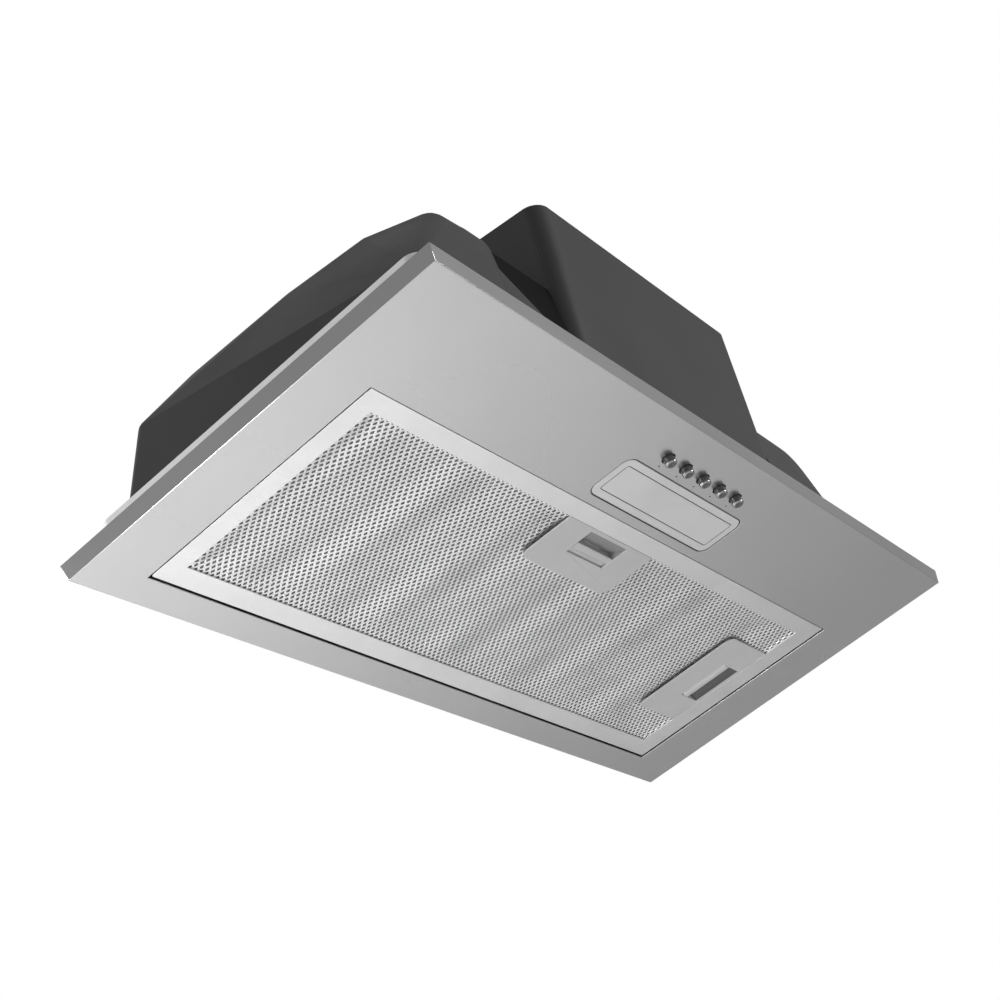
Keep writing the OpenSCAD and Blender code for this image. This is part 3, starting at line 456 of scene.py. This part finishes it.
def make_housing():
    """Moulded body without the front wall between the shoulder and the box's right end."""
    behind_box = 2.7
    depth = 7
    over_foot = 0.2
    left = HOUSING_LOW.x + SHOULDER_CUT
    right = BOX_HIGH.x - behind_box
    rear = FRONT_WALL + depth
    form = welded("lower_housing")
    for place in (left, right):
        split(form, (place * MM, 0, 0), (1, 0, 0))
    split(form, (0, rear * MM, 0), (0, 1, 0))
    split(form, (0, 0, FOOT * MM), (0, 0, 1))
    drop_faces(form, lambda place: (left < place.x < right and place.y < rear
                                    and place.z > FOOT + over_foot))
    eased("lower_housing", 1.2, form)


def make_niche_wall():
    """Sheet that closes the set-back part of the housing, with an upstand over the deck; its near-black
    finish is painted shade of the recess.
    """
    set_back = 5.2
    behind_box = 10
    upstand = 8.5
    slope = 12
    under_deck = 1
    front = FRONT_WALL + set_back
    left = HOUSING_LOW.x + SHOULDER_END
    right = BOX_LOW.x + behind_box
    top = DECK + upstand
    wall = prism([(left, FOOT), (right, FOOT), (right, top), (left + slope, top), (left, DECK - under_deck)],
                 front, front + MOULD_WALL)
    fit_out(piece_from(wall, "niche_wall"), body="hood", slot="black_moulding", finish="painted_shade_black")


def make_slot_cover():
    """Pressed strip over the slot between the right wall and the housing's foot."""
    width = 20
    from_end = 9
    sunk = 0.5
    proud = 1.6
    chamfer = 0.8
    front = -103
    rear = 93
    outer = HOUSING_HIGH.x - from_end
    inner = outer - width
    low = FOOT - sunk
    top = FOOT + proud
    outline = [(inner, low), (outer, low), (outer, top - chamfer), (outer - chamfer, top), (inner, top)]
    strip = prism(outline, front, rear)
    fit_out(piece_from(strip, "slot_cover"), body="hood", slot="black_moulding")


def make_box():
    """Blower box whose front and corners reach down to the foot of the housing."""
    form = welded("blower_housing")
    split(form, (0, 0, DECK * MM), (0, 0, 1))
    under_deck = 0.005
    drop_faces(form, lambda place: place.z < DECK - under_deck)
    eased("blower_housing", 0.8, form)
    half = (BOX_HIGH.x - BOX_LOW.x) / 2
    middle_x = (BOX_HIGH.x + BOX_LOW.x) / 2
    steps = 10

    def outline(inset):
        """Points (across, behind the front) from the left side round the front to the right side."""
        radius = CORNER_R - inset
        arc = [math.radians(90 * i / steps) for i in range(steps + 1)]
        left = [(-half + CORNER_R - radius * math.cos(a), CORNER_R - radius * math.sin(a)) for a in arc]
        return left + [(-u, v) for u, v in reversed(left)]

    def at_height(u, v, z):
        """Place of an outline point on the leaning box, at height z."""
        up = (z - LEAN_FROM - v * math.sin(LEAN)) / math.cos(LEAN)
        y = FRONT_WALL - BOX_AHEAD + v * math.cos(LEAN) - up * math.sin(LEAN)
        return Vector((middle_x + u, y, z)) * MM

    skirt = bmesh.new()
    rings = [[skirt.verts.new(at_height(u, v, z)) for u, v in outline(inset)]
             for inset, z in ((0, FOOT), (0, DECK), (MOULD_WALL, DECK), (MOULD_WALL, FOOT))]
    for this, after in zip(rings, rings[1:] + rings[:1]):
        for i in range(len(this) - 1):
            skirt.faces.new((this[i], this[i + 1], after[i + 1], after[i]))
    for end in (0, -1):
        skirt.faces.new([ring[end] for ring in rings])
    fit_out(piece_from(skirt, "box_skirt"), body="hood", slot="black_moulding")


def hull_of_balls(form, balls):
    """Adds the convex hull of balls, given as (x, y, z, radius) in millimetres."""
    points = []
    for x, y, z, radius in balls:
        made = bmesh.ops.create_uvsphere(form, u_segments=32, v_segments=16, radius=radius * MM,
                                         matrix=Matrix.Translation(Vector((x, y, z)) * MM))
        points += made["verts"]
    hull = bmesh.ops.convex_hull(form, input=points)
    inside = [item for item in hull["geom_interior"] if isinstance(item, bmesh.types.BMVert)]
    bmesh.ops.delete(form, geom=inside, context="VERTS")


def make_shoulder_end():
    """Rounded end of the shoulder with the lower foot that runs out to the right."""
    # Where the pieces overlap the CAD's own shoulder, they stand a little behind its wall and over its deck
    sunk = 0.15
    over = 0.1
    post_r = 8
    top_r = 12
    depth = 20
    top_depth = 8
    start = HOUSING_LOW.x + 86
    post = HOUSING_LOW.x + 96
    end = HOUSING_LOW.x + SHOULDER_END
    cut = HOUSING_LOW.x + SHOULDER_CUT
    heel = HOUSING_LOW.x + 102
    toe = HOUSING_LOW.x + 166
    heel_z = DECK - 33
    heel_back = 1.3
    post_y = SHOULDER_FRONT + post_r
    top_y = SHOULDER_FRONT + 14
    top_z = DECK - top_r
    shoulder = bmesh.new()
    hull_of_balls(shoulder, [
        (start, post_y + sunk, FOOT, post_r),
        (post, post_y, FOOT, post_r),
        (post, post_y + depth, FOOT, post_r),
        (start, top_y + sunk, top_z + over, top_r),
        (end, top_y, top_z, top_r),
        (start, top_y + top_depth, top_z + over, top_r),
        (end, top_y + top_depth, top_z + over, top_r)])
    foot = bmesh.new()
    hull_of_balls(foot, [
        (cut, post_y + sunk, FOOT, post_r),
        (toe, post_y, FOOT, post_r),
        (toe, post_y + depth, FOOT, post_r),
        (heel, post_y + heel_back, heel_z, post_r),
        (heel, post_y + depth, heel_z, post_r)])
    for form, name in ((shoulder, "shoulder_end"), (foot, "shoulder_foot")):
        for vert in form.verts:
            vert.co.z = max(vert.co.z, FOOT * MM)
        fit_out(piece_from(form, name), body="hood", slot="black_moulding")


make_housing()
make_niche_wall()
make_slot_cover()
make_box()
make_shoulder_end()


# Push buttons, as caps with a bright rim, and a face and collar in darkened chrome that paints dark
# reflections

BUTTONS = range(1, 6)


def make_button(node):
    """Cap with stem and head, turned from its face at the bottom up to the top of its retained stem."""
    low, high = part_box(node)
    flange = 0.5
    radius = (high.x - low.x) / 2 / MM - flange
    tall = (high.z - low.z) / MM
    start = 0.7
    cap = 10.7
    collar = start + 1.5
    neck = radius - 0.25
    stem = 1.8
    head = 3.0
    under_head = tall - 1.5
    crown = 1.2
    crown_steps = 6
    brim = start + 0.35
    face = radius - crown
    middle_of_face = face * 0.5
    bottom = start + 0.6
    hollow = 0.5
    rim = [(face - 0.1, brim + 0.05)]
    for step in range(crown_steps + 1):
        angle = math.radians(90 * step / crown_steps)
        rim.append((face + crown * math.sin(angle), brim + crown * (1 - math.cos(angle))))
    rim += [(radius, collar), (neck, collar), (neck, cap), (stem, cap),
            (stem, under_head), (head, under_head), (head, tall), (0, tall)]
    disc = [(0, bottom)]
    for share in (0.3, 0.6, 0.85):
        disc.append((face * share, bottom - hollow * share ** 2))
    centre = middle(node)
    place = (centre.x, centre.y, low.z)
    profile = disc[:1] + [(middle_of_face, start + 0.7)] + rim
    fit_out(lathe(node + ".cap", profile, place), node)
    # The dish and the collar take the darkened chrome, painted dark reflection
    back = start + 0.68
    profile = disc + [(face, brim + 0.02), (middle_of_face, back), (0, back)]
    dish = lathe(node + ".dish", profile, place)
    fit_out(dish, body=body_of[node], slot="chromed", finish="chrome_painted_dark_reflection")
    inner = radius - 0.24
    outer = radius - 0.02
    profile = [(inner, collar + 0.05), (outer, collar + 0.1), (outer, cap), (inner, cap)]
    sleeve = lathe(node + ".collar", profile, place)
    fit_out(sleeve, body=body_of[node], slot="chromed", finish="chrome_painted_dark_reflection")


for number in BUTTONS:
    make_button(f"button_{number}")


# Springs, as real coils in place of the fluted sleeves

def coil(name, start, end, radius, wire, turns, steps=20, sides=8):
    """Round wire wound about the line from start to end, its last turns closed flat."""
    start, end = Vector(start), Vector(end)
    along = (end - start).normalized()
    side = along.orthogonal().normalized()
    other = along.cross(side)
    length = (end - start).length - 2 * wire
    closing = 0.6
    count = turns * steps
    form = bmesh.new()
    rings = []
    for i in range(count + 1):
        t = i / count
        angle = 2 * math.pi * turns * t
        rise = wire + length * (t - math.sin(2 * math.pi * t) / (2 * math.pi) * closing)
        out = side * math.cos(angle) + other * math.sin(angle)
        centre = start + along * rise + out * radius
        ring = []
        for k in range(sides):
            b = 2 * math.pi * k / sides
            ring.append(form.verts.new(centre + (out * math.cos(b) + along * math.sin(b)) * wire))
        rings.append(ring)
    for lower, upper in zip(rings, rings[1:]):
        for k in range(sides):
            form.faces.new((lower[k], lower[(k + 1) % sides], upper[(k + 1) % sides], upper[k]))
    form.faces.new(rings[0][::-1])
    form.faces.new(rings[-1])
    return piece_from(form, name)


def make_button_spring(number):
    """Coil under a push button."""
    node = f"spring_{number}"
    low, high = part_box(node)
    centre = middle(node)
    inside = 0.45 * MM
    wire = 0.25 * MM
    radius = (high.x - low.x) / 2 - inside
    start = (centre.x, centre.y, low.z)
    end = (centre.x, centre.y, high.z)
    made = coil(node + ".coil", start, end, radius, wire, turns=5)
    fit_out(made, node)
    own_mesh(made)


for number in BUTTONS:
    make_button_spring(number)


def make_latch_spring(side, axis):
    """Coil behind a latch slider."""
    node = f"latch_spring_{side}"
    low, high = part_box(node)
    start = middle(node)
    end = middle(node)
    start[axis] = low[axis]
    end[axis] = high[axis]
    radius = 1.75 * MM
    wire = 0.3 * MM
    made = coil(node + ".coil", start, end, radius, wire, turns=6)
    fit_out(made, node)
    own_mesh(made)


make_latch_spring("front", 1)
make_latch_spring("side", 0)


# Filter mesh, as expanded metal with diamond openings

PITCH_X = 4.4
PITCH_Y = 6.1
# Share of a diamond's width and height that is open, and the tilt of its strands in millimetres
OPENING = 0.52
TWIST = 0.08
SHEET = 0.35
PLY_GAP = 0.45


def wave(x, y):
    """Gentle buckling of the thin sheet, in millimetres, along the filter's length."""
    long_pitch = 64
    long_height = 0.45
    short_pitch = 37
    short_height = 0.2
    drift = 5 * math.sin(0.02 * y + 1.0)
    long_wave = math.sin(2 * math.pi * (x + drift) / long_pitch + 0.6)
    short_wave = math.sin(2 * math.pi * (x - drift) / short_pitch + 0.03 * y)
    return long_height * long_wave + short_height * short_wave


def diamond_sheet(node, name, pitch_x, pitch_y, thick, height, cutouts=(), opening=OPENING,
                  twist=TWIST, odd=0, shift=(0, 0)):
    """Expanded metal over the node's outline. height gives the sheet's lower face in millimetres."""
    low, high = box_mm(node)
    form = bmesh.new()
    shared = {}

    def outer(x, y, level):
        """Corner that neighbouring diamonds share, on the lower or the upper face."""
        key = (round(x / pitch_x * 4), round(y / pitch_y * 4), level)
        if key not in shared:
            z = height(x, y) + (thick if level else 0)
            shared[key] = form.verts.new((x * MM, y * MM, z * MM))
        return shared[key]

    half_x, half_y = pitch_x / 2, pitch_y / 2
    inner_x, inner_y = half_x * opening, half_y * opening
    blunt = 0.16
    flat = half_x * blunt
    columns = int((high.x - low.x) / half_x) - 1
    rows = int((high.y - low.y) / half_y) - 1
    x0 = (low.x + high.x) / 2 - columns / 2 * half_x + shift[0]
    y0 = (low.y + high.y) / 2 - rows / 2 * half_y + shift[1]
    for i in range(columns + 1):
        for j in range(rows + 1):
            if (i + j) % 2 != odd:
                continue
            x, y = x0 + i * half_x, y0 + j * half_y
            if any(left < x < right and front < y < rear for left, right, front, rear in cutouts):
                continue
            around = [(x + half_x, y), (x, y + half_y), (x - half_x, y), (x, y - half_y)]
            hole = [(inner_x, 0, -twist), (flat, inner_y, 0), (-flat, inner_y, 0),
                    (-inner_x, 0, twist), (-flat, -inner_y, 0), (flat, -inner_y, 0)]
            loops = []
            for level in (0, 1):
                east, north, west, south = (outer(px, py, level) for px, py in around)
                rise = thick if level else 0
                ring = []
                for dx, dy, dz in hole:
                    z = height(x + dx, y + dy) + rise + dz
                    ring.append(form.verts.new(((x + dx) * MM, (y + dy) * MM, z * MM)))
                loops.append(ring)
                faces = [(east, north, ring[1], ring[0]), (north, ring[2], ring[1]),
                         (north, west, ring[3], ring[2]), (west, south, ring[4], ring[3]),
                         (south, ring[5], ring[4]), (south, east, ring[0], ring[5])]
                for corners in faces:
                    form.faces.new(corners if level else corners[::-1])
            for k in range(6):
                n = (k + 1) % 6
                form.faces.new((loops[0][k], loops[0][n], loops[1][n], loops[1][k]))
    mesh = bpy.data.meshes.new(name)
    for face in form.faces:
        face.smooth = False
    form.to_mesh(mesh)
    form.free()
    return add(bpy.data.objects.new(name, mesh))


def cup_areas(grow):
    """Left, right, front and rear of both latch cups' deep parts, in millimetres."""
    outside = 10
    behind = 11
    areas = []
    for node in ("latch_front", "latch_side"):
        low, high = box_mm(node)
        cup_low, cup_high = box_mm(node.replace("latch_", "latch_cup_"))
        if node == "latch_front":
            areas.append((low.x - grow, high.x + grow, cup_low.y - outside, high.y + behind + grow))
        else:
            areas.append((low.x - behind - grow, cup_high.x + outside, low.y - grow, high.y + grow))
    return areas


def make_mesh_pack():
    """Four sheets over each other: the seen one, one close behind it, the folded core and the top."""
    low, high = box_mm("mesh_lower")
    pack_low, pack_high = box_mm("mesh_core")
    cutouts = cup_areas(4)
    channel = 6
    edge = 14
    right_share = 0.3
    seat = 0.1
    dome = 1.05
    fold = 13.0
    under_fold = 3.2
    over_fold = 0.5
    coarse_x = 2 * PITCH_X
    coarse_y = 2 * PITCH_Y

    def settle(x, y):
        """0 at the frame's channel, 1 in the open field, rising more slowly at the right end."""
        near = min(x - low.x - channel, (high.x - channel - x) * right_share,
                   y - low.y - channel, high.y - channel - y)
        t = min(max(near / edge, 0), 1)
        return t * t * (3 - 2 * t)

    def lower(x, y):
        return low.z + seat + (dome + wave(x, y)) * settle(x, y)

    def second(x, y):
        return lower(x, y) + SHEET + PLY_GAP

    def upper(x, y):
        return pack_high.z + seat

    def core(x, y):
        share = abs(((x / fold) % 2) - 1)
        return pack_low.z + under_fold + (pack_high.z - pack_low.z - under_fold - over_fold) * share

    sheet = diamond_sheet("mesh_lower", "mesh_lower.diamonds", PITCH_X, PITCH_Y, SHEET, lower, cutouts)
    fit_out(sheet, "mesh_lower")
    # The second ply and the folded core take the darker aluminium, which paints the shade between the layers
    sheet = diamond_sheet("mesh_lower", "mesh_lower.second", PITCH_X, PITCH_Y, SHEET, second, cutouts,
                          opening=0.3, twist=0.03, odd=1, shift=(0.95, 0.45))
    fit_out(sheet, body="filter", slot="mesh_aluminium", finish="mesh_inner_painted_shade")
    sheet = diamond_sheet("mesh_core", "mesh_core.folds", coarse_x, coarse_y, SHEET, core, cutouts,
                          opening=0.38, twist=0.05)
    fit_out(sheet, "mesh_core", finish="mesh_inner_painted_shade")
    sheet = diamond_sheet("mesh_upper", "mesh_upper.diamonds", coarse_x, coarse_y, SHEET, upper, cutouts,
                          opening=0.78)
    fit_out(sheet, "mesh_upper")


make_mesh_pack()


# Finger ramps and grips in both latches

# Length of the recess across, then places behind the mesh's edge
RECESS = 39.9
RAMP_START = 3.5
GRIP_START = 15.0
SLIDER_REAR = 25.0


def latch_place(side):
    """Turns (across, behind the mesh's edge, above the plate's face) into a place in metres."""
    low, high = box_mm(f"latch_{side}")
    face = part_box(f"latch_cup_{side}")[0][2] / MM
    if side == "front":
        edge = high.y - SLIDER_REAR
        centre = (low.x + high.x) / 2
        return lambda across, behind, up: Vector((centre + across, edge + behind, face + up)) * MM
    edge = low.x + SLIDER_REAR
    centre = (low.y + high.y) / 2
    return lambda across, behind, up: Vector((edge - behind, centre + across, face + up)) * MM


def latch_bar(side, profile, length):
    """Closed bar across the latch, its profile given as (behind, up) points."""
    place = latch_place(side)
    return bar_between(*([place(across, behind, up) for behind, up in profile]
                         for across in (-length / 2, length / 2)))


def make_ramp(side, fall, finish):
    """Curved floor that leads a finger from the plate's edge to the grip; a small fall drops at once."""
    depth = 5.2
    thick = 0.5
    before_grip = 0.6
    sunk = 0.02
    steps = 14
    curve = []
    for i in range(steps + 1):
        t = i / steps
        curve.append((RAMP_START + (GRIP_START - RAMP_START - before_grip) * t, sunk + depth * t ** fall))
    profile = curve + [(behind, up + thick) for behind, up in reversed(curve)]
    ramp = latch_bar(side, profile, RECESS)
    fit_out(piece_from(ramp, f"latch_ramp_{side}"), body="filter", slot="latch_grey", finish=finish)


def make_grip(side):
    """Rounded lip of the slider that the finger pulls; its rear passes behind the plate."""
    top = 5.0
    play = 0.5
    lip = [(2.2, top), (2.2, 2.4), (0.9, 1.6), (0, 0.9), (0.2, 0.4), (0.7, 0.16), (1.4, 0.1),
           (4.0, 0.16), (5.2, 0.42), (6.2, 0.95), (7.2, 1.6), (9.6, 1.6), (9.6, top)]
    grip = latch_bar(side, [(GRIP_START + behind, up) for behind, up in lip], RECESS - play)
    fit_out(piece_from(grip, f"latch_grip_{side}"), body=body_of[f"latch_{side}"], slot="latch_grey")


# The ramps take darkened latch paint as painted shade; the side one is darker still
make_ramp("front", 1.0, "ramp_painted_shade")
make_ramp("side", 0.6, "ramp_painted_deep_shade")
make_grip("front")
make_grip("side")


# Thin folded lip along the filter frame's front

def make_frame_lip():
    low, high = box_mm("filter_frame")
    out = 0.8
    lap = 1.5
    proud = 0.05
    bottom = low.z - proud
    top = low.z + 0.55
    outline = [(low.x, bottom), (high.x, bottom), (high.x, top), (low.x, top)]
    lip = prism(outline, low.y - out, low.y + lap)
    fit_out(piece_from(lip, "frame_lip"), body="filter", slot="filter_band")


make_frame_lip()


# Dark strips round the lamp cover, painted shade in the gap and in the lens's groove

def rounded_outline(length, width, radius, steps=8):
    """Points of a rounded rectangle about the origin."""
    points = []
    for corner in range(4):
        x = (length / 2 - radius) * (1 if corner in (0, 3) else -1)
        y = (width / 2 - radius) * (1 if corner in (0, 1) else -1)
        for step in range(steps + 1):
            angle = math.radians(90 * (corner + step / steps))
            points.append((x + radius * math.cos(angle), y + radius * math.sin(angle)))
    return points


def ring_of(centre, face, length, width, radius, section):
    """Closed ring along a rounded rectangle; section gives its corners as (inset, height above the face)."""
    form = bmesh.new()
    rings = []
    for inset, up in section:
        outline = rounded_outline(length - 2 * inset, width - 2 * inset, radius - inset)
        rings.append([form.verts.new(Vector((centre.x + x, centre.y + y, face + up)) * MM)
                      for x, y in outline])
    for this, after in zip(rings, rings[1:] + rings[:1]):
        for i in range(len(this)):
            n = (i + 1) % len(this)
            form.faces.new((this[i], this[n], after[n], after[i]))
    return form


def strip_section(play, thick, low, high):
    """Corners (inset, height above the face) of a strip that starts that much play inside its opening."""
    return ((play, low), (play, high), (thick, high), (thick, low))


def make_lamp_cover_shades():
    """Dark strip that lines the panel's opening, painted shade of the gap, and the dark line in the cover's
    groove, painted shade of the groove.
    """
    low, high = box_mm("lamp_cover")
    centre = (low + high) / 2
    lip = 1.7
    length = high.x - low.x - 2 * lip
    width = high.y - low.y - 2 * lip
    opening_r = 7.5
    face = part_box("face_panel")[0][2] / MM
    # Dark plastic strip in the gap round the cover: painted shade
    gap_shade = ring_of(centre, face, length, width, opening_r, strip_section(0.02, 0.3, 0.2, 0.95))
    fit_out(piece_from(gap_shade, "cover_gap_painted_shade"), body="hood", slot="dark_plastic")
    margin = 6.2
    groove = 0.5
    groove_r = 2.0
    play = 0.01
    # Near-black strip in the lens's groove: painted shade
    line = ring_of(centre, face, length - 2 * margin, width - 2 * margin, groove_r,
                   strip_section(play, groove - play, 0.24, 0.58))
    fit_out(piece_from(line, "lens_groove_painted_shade"), body="hood", slot="motor_paint")


make_lamp_cover_shades()


# Bare dots beside the push buttons

def make_marks():
    behind = 7.8 * MM
    proud = 0.05 * MM
    radius = 0.6
    thick = 0.08
    profile = [(0, 0), (radius - 0.05, 0), (radius, 0.02), (radius, thick), (0, thick)]
    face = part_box("face_panel")[0].z
    for number in BUTTONS:
        centre = middle(f"button_{number}")
        dot = lathe(f"mark_{number}", profile, (centre.x, centre.y + behind, face - proud), steps=20)
        fit_out(dot, body="hood", slot="dark_plastic")


make_marks()


# Finishes of the CAD nodes that stay, and the studio floor

for node, thing in frame["nodes"].items():
    for place in thing.material_slots:
        place.material = FINISHES[slot_of[node]].material


def make_floor():
    """Pale floor far below the hood."""
    form = bmesh.new()
    bmesh.ops.create_grid(form, x_segments=1, y_segments=1, size=FLOOR_HALF)
    mesh = bpy.data.meshes.new("floor")
    form.to_mesh(mesh)
    form.free()
    floor = add(bpy.data.objects.new("floor", mesh))
    floor.location.z = FLOOR_Z
    pale = Finish("floor", 0.8)
    pale.colour(pale.noise(2, 2), grey(0.86), grey(0.9))
    mesh.materials.append(pale.material)


make_floor()
